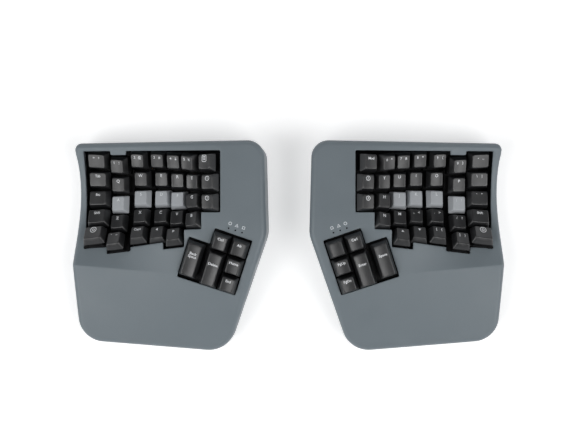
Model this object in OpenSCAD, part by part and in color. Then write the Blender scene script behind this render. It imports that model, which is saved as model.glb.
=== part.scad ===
// Split ergonomic keyboard: two mirrored halves, each a sculpted case with a contoured key well,
// a thumb cluster, mechanical key switches, a battery and a fold-out tenting leg.
// X runs across both halves, Y runs away from the typist and Z is up from the desk.
// One half is drawn with X outward from its inner edge, then placed on the right and mirrored to the left.

/* [Case outline] */
// Gap between the two halves at their inner edges
half_gap = 42.4; // [20:0.2:120]
// Width of one half at its widest
case_w = 197.2; // [185:0.1:215]
// Depth of one half from the palm edge corner to the back corner
case_d = 215; // [190:1:235]
// Depth of the case behind the key opening
back_band = 10.3; // [9:0.1:14]
// How far the outer back corner stands in from the widest point
outer_back_in = 3; // [0:0.5:6]
// How far the outer back corner lies in front of the inner one
outer_back_drop = 2.2; // [0:0.2:5]
// How far the outer palm corner stands in from the widest point
outer_palm_in = 5; // [0:0.5:12]
// How far the outer palm corner lies behind the inner one
outer_palm_rise = 12.5; // [0:0.5:20]
// Distance of the inner palm corner from the inner edge
palm_taper = 41.5; // [30:0.5:55]
// Height of the inner knee along the depth
knee_y = 13.5; // [0:0.5:25]
// How far the inner back corner stands out from the knee
inner_back_in = 2.5; // [0:0.5:6]
// Inward bow of the outer edge beside the key well
outer_bow = 3.5; // [0:0.5:4]
// Pull of the deepest point of the bow toward the back
bow_pull = 1.45; // [1:0.05:1.8]
// Corner radius at the outer back
outer_back_r = 7; // [6.5:0.5:12]
// Corner radius at the inner back
inner_back_r = 17; // [10:1:25]
// Corner radius at the inner knee
knee_r = 30; // [15:1:60]
// Corner radius at the inner palm corner
inner_palm_r = 28; // [15:1:40]
// Corner radius at the outer palm corner
outer_palm_r = 26; // [15:1:40]

/* [Case surface] */
// Height of the case at the palm edge
palm_h = 19.5; // [17:0.5:26]
// Height of the case at the inner back corner
inner_back_h = 54; // [50:0.5:62]
// Height of the case at the outer back corner
outer_back_h = 38; // [35:0.5:46]
// Distance over which the palm rest climbs to the back height
rise_d = 140; // [120:1:170]
// Depth of the scoop beside the key well at the outer edge
scoop_depth = 15; // [8:0.5:18]
// Place of the ridge at the outer edge along the depth
ridge_y = -17; // [-24:0.5:-10]
// Place of the inner end of the ridge across the half
ridge_end_x = 89; // [85:0.5:100]
// How far the inner end of the ridge lies in front of the outer end
ridge_drop = 9.5; // [4:0.5:14]
// Width of the flat rim behind the scoop
back_rim = 5.5; // [3:0.5:8]
// Rounding of the top edge
edge_r = 5.5; // [4:0.25:6]
// Wall thickness of the case
case_wall = 2.2; // [1.6:0.1:2.6]

/* [Keys] */
// Spacing of the keys
key_pitch = 19.05; // [18.6:0.05:19.4]
// Gap between neighbouring cap skirts on a flat field
cap_gap = 1.05; // [0.8:0.05:1.5]
// Height of the cap rim above its plate
cap_top_h = 13.4; // [12.8:0.1:14.5]
// Height of the cap skirt above its plate at rest
skirt_h = 5.6; // [5.4:0.1:6.2]
// Taper of a cap from skirt to top on each side
cap_side_taper = 2.7; // [2.2:0.1:3]
// Taper of a cap from skirt to top at the front and the back
cap_end_taper = 2; // [1.5:0.1:2.5]
// Backward shift of the cap top
cap_lean = 0.6; // [0:0.1:1]
// Depth of the dish in a cap top
dish_depth = 0.7; // [0.3:0.05:1]
// Wall thickness of a cap
cap_wall = 1.3; // [1:0.1:1.5]
// Travel of a key
key_travel = 4; // [3:0.1:4]
// Spacing of the curved rows measured along the cap tops
row_pitch = 18.7; // [18.4:0.1:19.4]
// Sideways tilt of the main columns
main_roll = 12; // [8:0.5:13]
// Sideways tilt of the two inner columns
inner_roll = 26; // [22:0.5:28]
// Room from the middle of the number row to the back edge of its opening
well_room = 10.1; // [9.5:0.1:12]
// Outward shift of the number row where it fans out the most
fan_out = 4.6; // [0:0.1:5]
// Clearance of the case opening round the caps
opening_gap = 0.8; // [0.6:0.1:1.4]

/* [Thumb cluster] */
// Turn of the thumb cluster in plan
thumb_turn = 18.4; // [15:0.2:22]
// Depth of the thumb plate below the case surface
thumb_sink = 6; // [5:0.25:7]
// Spacing of the outer thumb column
thumb_outer_pitch = 22; // [20.5:0.1:23]
// Backward shift of the outer thumb key
thumb_outer_back = 2.6; // [0:0.1:4]
// Extra room behind the thumb keys
thumb_back_room = 2.2; // [0.8:0.1:3]

/* [Inside] */
// Height of the rubber feet below the case
foot_h = 2; // [1.5:0.1:3]
// Diameter of the rubber feet
foot_d = 12; // [8:0.5:13]
// Thickness of the base plate
base_t = 2.5; // [2:0.1:3]
// Thickness of the switch plates
plate_t = 1.6; // [1.4:0.1:2]
// Fitting clearance between fixed pieces
fit_gap = 0.25; // [0.15:0.05:0.4]
// Length of the tenting leg along its hinge
leg_len = 52; // [40:1:56]
// Reach of the tenting leg from its hinge
leg_reach = 22; // [16:1:24]
// Thickness of the tenting leg
leg_t = 5; // [4:0.25:6]
// Diameter of the hinge pins of the leg
leg_pin_d = 3; // [2:0.25:3.2]
// Length of the battery
battery_len = 60; // [40:1:66]
// Width of the battery
battery_w = 40; // [25:1:44]
// Thickness of the battery
battery_t = 7; // [5:0.5:9]
// Diameter of the screw bosses
boss_d = 6.6; // [6:0.1:7]
// Diameter of the case screws
screw_d = 2.6; // [2:0.1:3]

/* [Hidden] */
$fn = 48;
sides = ["left", "right"];
main_cols = 5;
home_row = 2;
bottom_row = 4;

// Colours
case_colour = "slategray";
cap_colour = "dimgray";
home_colour = "silver";
black = "#1a1a1c";
board_colour = "darkgreen";

// Key columns from the outer edge inward: centre of the home cap top across, along and above the desk
col_x = [173.2, 152, 129.8, 108.8, 91.2, 75.4, 58.6];
col_y = [49.7, 44.3, 50.1, 50.1, 48.5, 46.9, 65.1];
col_z = [26.5, 28.5, 25.5, 25.5, 32.5, 42, 53.6];
col_keys = [5, 5, 5, 5, 5, 4, 3, 6];
forward_col = 1;
middle_col = 2;
inner_col = 5;
flat_col = 6;
thumb_col = 7;
// Spacing of the keys of the flat column
flat_pitch = key_pitch + 0.57;
// Tilt of each curved row from the number row forward
row_tilt = [18, 6.5, -7, -22, -37];
// Outward shift of the number row and of the bottom row in each column, as a share of the largest
number_fan = [0.1, 0.1, 0.6, 0.8, 0.8, 1, 0.65];
bottom_fan = [0.35, 0.35, 0.2, 0.5, 0.5];
// Width of the outermost caps in key units
wide_units = 1.25;

// Thumb cluster: plate centre of its middle long key
thumb_x = 53.7;
thumb_y = -19.5;

// Heights
case_z = foot_h;
base_top = foot_h + base_t;
sky = inner_back_h + 30;
chamfer = 1;
// Overlap of joined solids
lap = 0.1;

// Case outline corners, counter-clockwise, with the radius and the steps of each corner arc
well_back = col_y[middle_col] + row_y(0) + well_room;
back_y = well_back + back_band;
front_y = back_y - case_d;
corners = [
  [case_w - outer_back_in, back_y - outer_back_drop, outer_back_r, 4],
  [inner_back_in, back_y, inner_back_r, 5],
  [0, knee_y, knee_r, 3],
  [palm_taper, front_y, inner_palm_r, 6],
  [case_w - outer_palm_in, front_y + outer_palm_rise, outer_palm_r, 5],
  [case_w, ridge_y, knee_r, 2]
];
// Steps and inward bow of the edge that follows each corner
edge_steps = [8, 5, 6, 7, 4, 8];
edge_bow = [0, 0, 0, 0, 0, outer_bow];

function unit(v) = v / norm(v);
function clamp(v) = min(1, max(0, v));
function smooth(v) = clamp(v) * clamp(v) * (3 - 2 * clamp(v));
function flat2(p) = [p[0], p[1]];
function corner(i) = flat2(corners[(i + len(corners)) % len(corners)]);
function half_angle(i) =
  acos(unit(corner(i - 1) - corner(i)) * unit(corner(i + 1) - corner(i))) / 2;
function tangent(i, to) =
  corner(i) + unit(corner(to) - corner(i)) * corners[i % len(corners)][2] / tan(half_angle(i));
function arc_centre(i) =
  corner(i) + unit(unit(corner(i - 1) - corner(i)) + unit(corner(i + 1) - corner(i)))
  * corners[i % len(corners)][2] / sin(half_angle(i));
function arc_points(i) =
  let (o = arc_centre(i), s = tangent(i, i - 1) - o, a = atan2(s[1], s[0]), n = corners[i][3],
       sweep = 180 - 2 * half_angle(i))
  [for (k = [0:n]) o + corners[i][2] * [cos(a + sweep * k / n), sin(a + sweep * k / n)]];
function edge_points(i) =
  let (a = tangent(i, i + 1), b = tangent((i + 1) % len(corners), i), n = edge_steps[i],
       inward = unit([a[1] - b[1], b[0] - a[0]]))
  [for (k = [1:n - 1]) let (u = pow(k / n, bow_pull))
    a + (b - a) * k / n + inward * edge_bow[i] * 4 * u * (1 - u)];
outline = [for (i = [0:len(corners) - 1]) each concat(arc_points(i), edge_points(i))];
count = len(outline);
function inward(i) =
  let (d = outline[(i + 1) % count] - outline[(i + count - 1) % count]) unit([-d[1], d[0]]);
function inset(i, d) = outline[i] + inward(i) * d;
outline_y = [for (p = outline) p[1]];
centre_y = (max(outline_y) + min(outline_y)) / 2;

// Height of the case surface: a palm rest that climbs to the back, scooped out behind the ridge
ridge_end = [ridge_end_x, ridge_y - ridge_drop];
scoop_start_x = ridge_end_x - 17;
scoop_full_x = case_w - 11;
scoop_back_y = back_y - back_rim;
function back_h(x) = inner_back_h + (outer_back_h - inner_back_h) * x / case_w;
function deck_h(x, y) = palm_h + (back_h(x) - palm_h) * sin(90 * clamp((y - front_y) / rise_d));
function ridge_at(x) = ridge_y - ridge_drop * (case_w - x) / (case_w - ridge_end_x);
function scoop(x, y) =
  let (middle = (scoop_back_y + ridge_at(x)) / 2, half = (scoop_back_y - ridge_at(x)) / 2)
  scoop_depth * smooth((x - scoop_start_x) / (scoop_full_x - scoop_start_x))
  * max(0, 1 - pow((y - middle) / half, 2));
function case_h(x, y) = deck_h(x, y) - scoop(x, y);
function deck_slope(x, y) =
  [(outer_back_h - inner_back_h) / case_w * sin(90 * clamp((y - front_y) / rise_d)),
   (back_h(x) - palm_h) * cos(90 * clamp((y - front_y) / rise_d)) * PI / 2 / rise_d];

// Rings of points over the case, from the bottom of the wall to the inner end of the ridge
ring_share = [0.12, 0.26, 0.42, 0.58, 0.74, 0.9];
function lip_h(i) = let (p = inset(i, edge_r)) case_h(p[0], p[1]);
function ring(d, lift) = [for (i = [0:count - 1]) concat(inset(i, d), [lip_h(i) - edge_r + lift])];
function level(d, z) = [for (i = [0:count - 1]) concat(inset(i, d), [z])];
function spread(share, drop) = [for (i = [0:count - 1])
  let (p = inset(i, edge_r) * (1 - share) + ridge_end * share) [p[0], p[1], case_h(p[0], p[1]) - drop]];
outer_rings = concat(
  [level(chamfer, case_z), level(0, case_z + chamfer)],
  [for (a = [0:30:90]) ring(edge_r * (1 - cos(a)), edge_r * sin(a))],
  [for (s = ring_share) spread(s, 0)]);
inner_rings = concat(
  [for (k = [len(ring_share) - 1:-1:0]) spread(ring_share[k], case_wall)],
  [ring(edge_r, edge_r - case_wall), ring(case_wall, 0), level(case_wall, case_z)]);

// Faces between two rings of n points, and a solid through a list of rings with flat ends
function band(n, a, b) = [for (i = [0:n - 1]) let (j = (i + 1) % n)
  each [[a + i, b + i, b + j], [a + i, b + j, a + j]]];
module loft(rings) {
  n = len(rings[0]);
  last = (len(rings) - 1) * n;
  polyhedron(
    points = [for (r = rings) each r],
    faces = concat(
      [[for (i = [0:n - 1]) i]],
      [for (k = [0:len(rings) - 2]) each band(n, k * n, (k + 1) * n)],
      [[for (i = [n - 1:-1:0]) last + i]]));
}
function rounded(w, d, r, z, dy) = [for (q = [0:3], a = [0:45:90])
  let (sx = q == 0 || q == 3 ? 1 : -1, sy = q < 2 ? 1 : -1)
  [sx * (w / 2 - r) + r * cos(90 * q + a), dy + sy * (d / 2 - r) + r * sin(90 * q + a), z]];
function boxed(w, d, z, dy) =
  [[w / 2, dy + d / 2, z], [-w / 2, dy + d / 2, z], [-w / 2, dy - d / 2, z], [w / 2, dy - d / 2, z]];

// Key places: a frame whose origin is on the switch plate and whose Z is the press direction reversed
function roll(c) = c < main_cols ? main_roll : inner_roll;
function tilt(c, r) = c == flat_col ? 0 : row_tilt[r];
function mean_tilt(r) = (row_tilt[r] + row_tilt[r + 1]) / 2;
function total(v) = len(v) == 0 ? 0 : v * [for (x = v) 1];
function row_y(r) = row_pitch * (total([for (k = [r:1:home_row - 1]) cos(mean_tilt(k))])
  - total([for (k = [home_row:1:r - 1]) cos(mean_tilt(k))]));
function row_z(r) = row_pitch * (total([for (k = [r:1:home_row - 1]) sin(mean_tilt(k))])
  - total([for (k = [home_row:1:r - 1]) sin(mean_tilt(k))]));
function fan(c, r) = fan_out * (r == 0 ? number_fan[c] : r == bottom_row ? bottom_fan[c] : 0);
function cap_top(c, r) = c == flat_col
  ? [col_x[c] + fan(c, r), col_y[c] + (1 - r) * flat_pitch, col_z[c]]
  : [col_x[c] + fan(c, r), col_y[c] + row_y(r), col_z[c] + row_z(r)];
function frame(x, y, z, o) =
  [[x[0], y[0], z[0], o[0]], [x[1], y[1], z[1], o[1]], [x[2], y[2], z[2], o[2]], [0, 0, 0, 1]];
function well_key(c, r) =
  let (a = tilt(c, r), b = roll(c), z = [sin(b), -cos(b) * sin(a), cos(b) * cos(a)])
  frame([cos(b), sin(b) * sin(a), -sin(b) * cos(a)], [0, cos(a), sin(a)], z, cap_top(c, r) - cap_top_h * z);

// Thumb keys: place in the cluster and length in key units
thumb_rows = [1.5, 0.5, -0.5];
thumb_inner_gap = 0.3;
thumb_keys = concat(
  [[thumb_outer_pitch, thumb_outer_back, 2], [0, thumb_rows[0] * key_pitch, 1], [0, 0, 2]],
  [for (r = thumb_rows) [-key_pitch - thumb_inner_gap, r * key_pitch, 1]]);
thumb_slope = deck_slope(thumb_x, thumb_y);
thumb_z = unit([-thumb_slope[0], -thumb_slope[1], 1]);
thumb_ahead = [cos(thumb_turn), sin(thumb_turn), thumb_slope * [cos(thumb_turn), sin(thumb_turn)]];
thumb_frame = frame(unit(thumb_ahead), cross(thumb_z, unit(thumb_ahead)), thumb_z,
                    [thumb_x, thumb_y, case_h(thumb_x, thumb_y) - thumb_sink]);
function shifted(m, p) = frame(
  [m[0][0], m[1][0], m[2][0]], [m[0][1], m[1][1], m[2][1]], [m[0][2], m[1][2], m[2][2]], at(m, p));
function at(m, p) = [for (i = [0:2]) m[i][0] * p[0] + m[i][1] * p[1] + m[i][2] * p[2] + m[i][3]];
function key_frame(c, r) = c == thumb_col
  ? shifted(thumb_frame, [thumb_keys[r][0], thumb_keys[r][1], 0]) : well_key(c, r);
function units_w(c) = c == 0 ? wide_units : 1;
function units_d(c, r) = c == thumb_col ? thumb_keys[r][2] : 1;
function cap_w(c) = units_w(c) * key_pitch - cap_gap;
function cap_d(c, r) = units_d(c, r) * key_pitch - cap_gap;
all_keys = [for (c = [0:thumb_col], r = [0:col_keys[c] - 1]) [c, r]];

// Key nodes: keys that share one press direction move as a row, the others singly
key_groups = concat(
  [for (g = [["number_row_keys", 0], ["upper_row_keys", 1], ["lower_row_keys", 3], ["bottom_row_keys", 4]])
    [g[0], [for (c = [0:main_cols - 1]) [c, g[1]]]]],
  [for (c = [0:main_cols - 1]) [str("home_key_", c + 1), [[c, home_row]]]],
  [for (r = [0:col_keys[inner_col] - 1]) [str("inner_key_", r + 1), [[inner_col, r]]]],
  [["centre_column_keys", [for (r = [0:col_keys[flat_col] - 1]) [flat_col, r]]]],
  [for (k = [0:len(thumb_keys) - 1]) [str("thumb_key_", k + 1), [[thumb_col, k]]]]);

// Switch sizes
cut_out = 14;
flange_w = 15.6;
flange_t = 1;
housing_top = 6.6;
housing_top_w = 10.6;
housing_top_d = 11;
switch_depth = 5;
slider_w = 7;
slider_d = 5.8;
slider_gap = 0.3;
slider_len = 5.6;
post_d = 5.5;
cap_roof = 1.6;
cap_foot_r = 1;
cap_rim_r = 1.6;
ceiling = cap_top_h - dish_depth - cap_roof;
slider_room = 0.5;

module cap(w, d) {
  top_w = w - 2 * cap_side_taper;
  top_d = d - 2 * cap_end_taper;
  dish_r = top_w * top_w / (8 * dish_depth) + dish_depth / 2;
  share = (ceiling - skirt_h) / (cap_top_h - skirt_h);
  difference() {
    loft([rounded(w, d, cap_foot_r, skirt_h, 0), rounded(top_w, top_d, cap_rim_r, cap_top_h, cap_lean)]);
    translate([0, 0, cap_top_h - dish_depth + dish_r])
      rotate([90, 0, 0])
        cylinder(r = dish_r, h = 2 * d, center = true, $fn = 180);
    loft([boxed(w - 2 * cap_wall, d - 2 * cap_wall, skirt_h - lap, 0),
          boxed(w - 2 * cap_wall - 2 * cap_side_taper * share, d - 2 * cap_wall - 2 * cap_end_taper * share,
                ceiling, cap_lean * share)]);
  }
}

// Slider of the switch with the post that carries the cap
module stem() {
  translate([-slider_w / 2, -slider_d / 2, housing_top - slider_len])
    cube([slider_w, slider_d, slider_len]);
  translate([0, 0, housing_top - lap])
    cylinder(d = post_d, h = ceiling - housing_top + 2 * lap);
}

module housing() {
  well_d = slider_len - housing_top + key_travel + slider_room;
  body = cut_out - fit_gap;
  difference() {
    union() {
      translate([-body / 2, -body / 2, -switch_depth])
        cube([body, body, switch_depth + flange_t / 2]);
      translate([-flange_w / 2, -flange_w / 2, 0])
        cube([flange_w, flange_w, flange_t]);
      loft([boxed(cut_out, cut_out, flange_t / 2, 0), boxed(housing_top_w, housing_top_d, housing_top, 0)]);
    }
    translate([-slider_w / 2 - slider_gap, -slider_d / 2 - slider_gap, -well_d])
      cube([slider_w + 2 * slider_gap, slider_d + 2 * slider_gap, well_d + housing_top + 1]);
  }
}

module place(side) {
  mirror([side == "left" ? 1 : 0, 0, 0])
    translate([half_gap / 2, -centre_y, 0])
      children();
}

module both() {
  for (side = sides)
    place(side)
      children();
}

module keys(list) {
  for (k = list) {
    light = k[1] == home_row && k[0] > 0 && k[0] < main_cols;
    multmatrix(key_frame(k[0], k[1])) {
      color(light ? home_colour : cap_colour)
        cap(cap_w(k[0]), cap_d(k[0], k[1]));
      color(black)
        stem();
    }
  }
}

module switch_housings() {
  color(black)
    both()
      for (k = all_keys)
        multmatrix(key_frame(k[0], k[1]))
          housing();
}

// Key well: a flat seat for every switch, joined by upright ribs that stand on the base plate
rib_t = 1.2;
rib_gap = 0.5;
end_half = 7.8;
rib_in = 0.2;
seam_gap = 1.5;
flat_seam = 0.9;
seat_rim = 0.4;
function plate_x(c, r) = cap_top(c, r)[0] - cap_top_h * sin(roll(c));
function plate_z(c) = well_key(c, c == flat_col ? 1 : home_row)[2][3];
function edge_z(c, s) = plate_z(c) - s * cap_w(c) / 2 * sin(roll(c));
function cap_reach(c, s) = rib_gap + rib_t / 2 + (s > 0
  ? cap_w(c) / 2 * cos(roll(c)) + skirt_h * sin(roll(c))
  : max(cap_w(c) / 2 * cos(roll(c)) - (skirt_h - key_travel) * sin(roll(c)),
        cut_out / 2 * cos(roll(c)) + switch_depth * sin(roll(c))));
// The rib between column c and the next one inward clears the caps of the lower of the two
function inner_is_lower(c) = edge_z(c, -1) > edge_z(c + 1, 1);
function rib_x(c, r) = c < 0 ? plate_x(0, r) + cap_reach(0, 1)
  : c == flat_col ? plate_x(c, r) - cap_reach(c, -1)
  : inner_is_lower(c) ? plate_x(c + 1, r) + cap_reach(c + 1, 1) : plate_x(c, r) - cap_reach(c, -1);
function rib_owner(c) = c < 0 ? 0 : c == flat_col ? flat_col : inner_is_lower(c) ? c : c + 1;
function rib_lower(c) = c < 0 ? 0 : c == flat_col ? flat_col : inner_is_lower(c) ? c + 1 : c;
function fold(r, h) =
  let (a = (row_tilt[r] - row_tilt[r + 1]) / 2) row_pitch / 2 / cos(a) + h * tan(a);
function flat_half(seam) = flat_pitch / 2 + lap + seam * flat_seam;
function half_back(c, r, h, end) = c == flat_col ? flat_half(r == 1 ? 1 : 0) : r == 0 ? end : fold(r - 1, h);
function half_front(c, r, h, end) = c == flat_col ? flat_half(r == 0 ? -1 : 0)
  : r == col_keys[c] - 1 ? end : fold(r, h);
function seat_end(c, r, x) = (x - plate_x(c, r)) / cos(roll(c));
// A seat ends beside its switch where no rib stands, and where it would rise into the next caps inward
function seat_inner(c, r) = c < flat_col && r >= col_keys[c + 1] || c == inner_col && r == 0
  ? -flange_w / 2 - seat_rim : seat_end(c, r, rib_x(c, r));
function seam_y(c, r) = at(well_key(c, r), [0, -half_front(c, r, cap_top_h, end_half), 0])[1];
module seat_slab(c, r, x0, x1, z0, z1, h, end) {
  front = half_front(c, r, h, end);
  translate([x0, -front, z0])
    cube([x1 - x0, front + half_back(c, r, h, end), z1 - z0]);
}
// A rib steps sideways with the rows that it clears, and its top follows the seats that it carries
module rib(c) {
  owner = rib_owner(c);
  low = rib_lower(c);
  top = [for (r = [0:col_keys[owner] - 1], ly = [end_half - rib_in, rib_in - end_half])
    let (p = at(well_key(owner, r), [seat_end(owner, r, rib_x(c, r)), ly, -plate_t / 2])) [p[1], p[2]]];
  back = top[0][0];
  front = top[len(top) - 1][0];
  first_seam = seam_y(low, 0);
  last_seam = low < main_cols ? seam_y(low, bottom_row - 1) : -sky;
  rib_run(top, first_seam + seam_gap, back, rib_x(c, 0));
  rib_run(top, max(front, last_seam + 2 * seam_gap), first_seam - seam_gap, rib_x(c, 1));
  if (last_seam > front)
    rib_run(top, front, last_seam - seam_gap, rib_x(c, bottom_row));
}
module rib_run(top, y0, y1, x) {
  inside = [for (p = top) if (p[0] > y0 && p[0] < y1) p];
  translate([x - rib_t / 2, 0, 0])
    rotate([90, 0, 90])
      linear_extrude(rib_t)
        polygon(concat([[y1, lookup(y1, top)]], inside,
                       [[y0, lookup(y0, top)], [y0, base_top], [y1, base_top]]));
}
module key_well() {
  color(black)
    difference() {
      union() {
        for (c = [-1:flat_col])
          rib(c);
        for (c = [0:flat_col], r = [0:col_keys[c] - 1])
          multmatrix(well_key(c, r))
            seat_slab(c, r, seat_inner(c, r), seat_end(c, r, rib_x(c - 1, r)), -plate_t, 0,
                      cap_top_h + plate_t / 2, end_half);
      }
      for (c = [0:flat_col], r = [0:col_keys[c] - 1])
        multmatrix(well_key(c, r))
          cube([cut_out, cut_out, 4 * plate_t], center = true);
    }
}

// Thin circuits under the switches of each column
flex_t = 0.3;
flex_w = 10.4;
flex_end = 5.5;
module flex_circuits() {
  color("darkorange")
    both()
      for (c = [0:flat_col], r = [0:col_keys[c] - 1])
        multmatrix(well_key(c, r))
          seat_slab(c, r, -flex_w / 2, flex_w / 2, -switch_depth - flex_t, -switch_depth,
                    cap_top_h + switch_depth + flex_t / 2, flex_end);
}

// Openings in the case round the key columns: the back edge is straight but for the column that stands
// forward, and the front edge follows the path of the end caps, or the seat where they stay above the case
function end_corner(c) = let (r = col_keys[c] - 1)
  let (p = [for (s = [-1, 1]) at(well_key(c, r), [s * cap_w(c) / 2, -cap_d(c, r) / 2 - opening_gap,
       skirt_h - key_travel - opening_gap])]) p[0][1] < p[1][1] ? p[0] : p[1];
function seat_front(c) = let (r = col_keys[c] - 1)
  min([for (x = [seat_inner(c, r), seat_end(c, r, rib_x(c - 1, r))])
    at(well_key(c, r), [x, -end_half, -plate_t])[1]]) - 2 * fit_gap;
side_room = 1;
forward_room = 1.8;
module column_opening(c) {
  last = col_keys[c] - 1;
  cap_end = end_corner(c);
  stays_above = cap_end[2] > case_h(cap_end[0], cap_end[1]);
  lean_in = (sky - cap_end[2]) * tan(tilt(c, last));
  front = stays_above ? [[seat_front(c), sky], [seat_front(c), 0]]
    : [[cap_end[1] - lean_in, sky], [cap_end[1], cap_end[2]], [cap_end[1], 0]];
  back = well_back - (c == forward_col ? col_y[middle_col] - col_y[c] - forward_room : 0);
  side = opening_gap + side_room;
  lean = c == flat_col ? roll(c) : 0;
  half_w = cap_w(c) / 2 * cos(roll(c) - lean);
  rib_side = rib_x(c, last) - rib_t / 2 - 2 * fit_gap - plate_x(c, 1);
  x0 = lean > 0 ? -half_w - opening_gap : min(-half_w - side, rib_side);
  x1 = half_w + skirt_h * sin(roll(c) - lean) + side + max([for (r = [0:last]) fan(c, r)]);
  translate([plate_x(c, 1), 0, plate_z(c)])
    rotate([0, lean, 0])
      translate([x0, 0, -plate_z(c)])
        rotate([90, 0, 90])
          linear_extrude(x1 - x0)
            polygon(concat([[back, 0], [back, sky]], front));
}
module thumb_opening() {
  multmatrix(thumb_frame)
    translate([0, 0, -thumb_sink])
      linear_extrude(sky)
        for (k = [0:len(thumb_keys) - 1])
          thumb_footprint(k, opening_gap, thumb_back_room);
}
module thumb_footprint(k, room, back_room) {
  w = cap_w(thumb_col) / 2 + room;
  d = cap_d(thumb_col, k) / 2;
  bridge = k == 0 ? thumb_outer_pitch - key_pitch : thumb_inner_gap;
  front = d + room + (k == 0 ? thumb_outer_back : 0);
  translate([thumb_keys[k][0] - w - bridge, thumb_keys[k][1] - front])
    square([2 * w + bridge, d + front + back_room]);
}

// Screw bosses: places in plan
boss_places = [[9.5, 67.5], [12, back_y - 10.5], [182, -12],
               [176, front_y + 25], [57, front_y + 15], [160, -34]];
screw_len = 11;
screw_room = 1;
screw_head_d = 5.4;
screw_head_h = 1.6;
hex_d = 2.4;
hex_h = 0.9;

// Lamps that show through the case beside the thumb cluster
lamp_d = 1.6;
lamp_pitch = 7;
lamp_len = 4;
lamp_sink = 0.2;
lamp_x = -10.2;
lamp_back = 43.4;
function lamp_place(k) = at(thumb_frame, [lamp_x + (k - 1) * lamp_pitch, lamp_back, 0]);

// Charging socket in the back wall, on the controller board
socket_x = 29.5;
socket_w = 8.94;
socket_h = 3.26;
socket_len = 7.4;
socket_wall = 0.3;
socket_recess = 0.8;
socket_cut = 10;
socket_back = 1;
tongue_w = 6.6;
tongue_t = 0.7;
tongue_in = 1;
board_t = 1.6;
board_z = 13;
board_w = 26;
board_d = 30;
board_room = 2.6;
board_back = back_y - case_wall - board_room;
board_post_d = 5;
board_post_in = 3;

module stadium(w, h) {
  for (s = [-1, 1])
    translate([s * (w - h) / 2, 0])
      circle(d = h);
  square([w - h, h], center = true);
}
module socket_profile(w, h, y0, y1) {
  translate([socket_x, y1, board_z + board_t + socket_h / 2])
    rotate([90, 0, 0])
      linear_extrude(y1 - y0)
        stadium(w, h);
}

module top_case() {
  n = count;
  top_tip = len(outer_rings) * n;
  inner_start = top_tip + 2;
  tip_h = case_h(ridge_end[0], ridge_end[1]);
  inner_last = inner_start + (len(inner_rings) - 1) * n;
  color(case_colour)
    difference() {
      union() {
        polyhedron(
          points = concat(
            [for (r = outer_rings) each r],
            [concat(ridge_end, [tip_h]), concat(ridge_end, [tip_h - case_wall])],
            [for (r = inner_rings) each r]),
          faces = concat(
            [for (k = [0:len(outer_rings) - 2]) each band(n, k * n, (k + 1) * n)],
            [for (i = [0:n - 1]) [top_tip - n + i, top_tip, top_tip - n + (i + 1) % n]],
            [for (i = [0:n - 1]) [top_tip + 1, inner_start + i, inner_start + (i + 1) % n]],
            [for (k = [0:len(inner_rings) - 2]) each band(n, inner_start + k * n, inner_start + (k + 1) * n)],
            band(n, inner_last, 0)));
        for (p = boss_places)
          translate([p[0], p[1], base_top])
            cylinder(d = boss_d, h = case_h(p[0], p[1]) - base_top - case_wall / 2);
      }
      for (c = [0:flat_col])
        column_opening(c);
      thumb_opening();
      for (k = [0:2])
        translate([lamp_place(k)[0], lamp_place(k)[1], palm_h])
          cylinder(d = lamp_d, h = sky);
      socket_profile(socket_w + 4 * fit_gap, socket_h + 4 * fit_gap,
                     back_y - socket_cut, back_y + socket_cut);
      for (p = boss_places)
        translate([p[0], p[1], 0])
          cylinder(d = screw_d + fit_gap, h = foot_h + screw_len + screw_room);
    }
}

// Base plate with screw holes, foot recesses, the leg pocket, the battery tray and the board posts
foot_sink = 0.6;
foot_bevel = 0.8;
foot_places = [[24, 88], [174, 84], [160, front_y + 21], [74, front_y + 17], [104, 2]];
leg_y = 15;
leg_gap = 0.4;
pocket_wall = 1.6;
pocket_room = 0.3;
hinge_x = rib_x(flat_col, 1) - rib_t / 2 - pocket_room - pocket_wall - leg_gap - leg_reach;
leg_sink = 0.2;
hinge_z = foot_h + leg_t / 2 + leg_sink;
pocket_top = hinge_z + leg_t / 2 + leg_gap;
pocket_x0 = hinge_x - leg_t / 2 - leg_gap;
pocket_x1 = hinge_x + leg_reach + leg_gap;
pin_len = 9;
finger_w = 18;
finger_reach = 5;
finger_h = 1.4;
battery_at = [120, front_y + 49];
tray_t = 1.4;
tray_h = 4;
post_places = [for (sx = [-1, 1], sy = [-1, 1])
  [socket_x + sx * (board_w / 2 - board_post_in),
   board_back - board_d / 2 + sy * (board_d / 2 - board_post_in)]];

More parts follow.
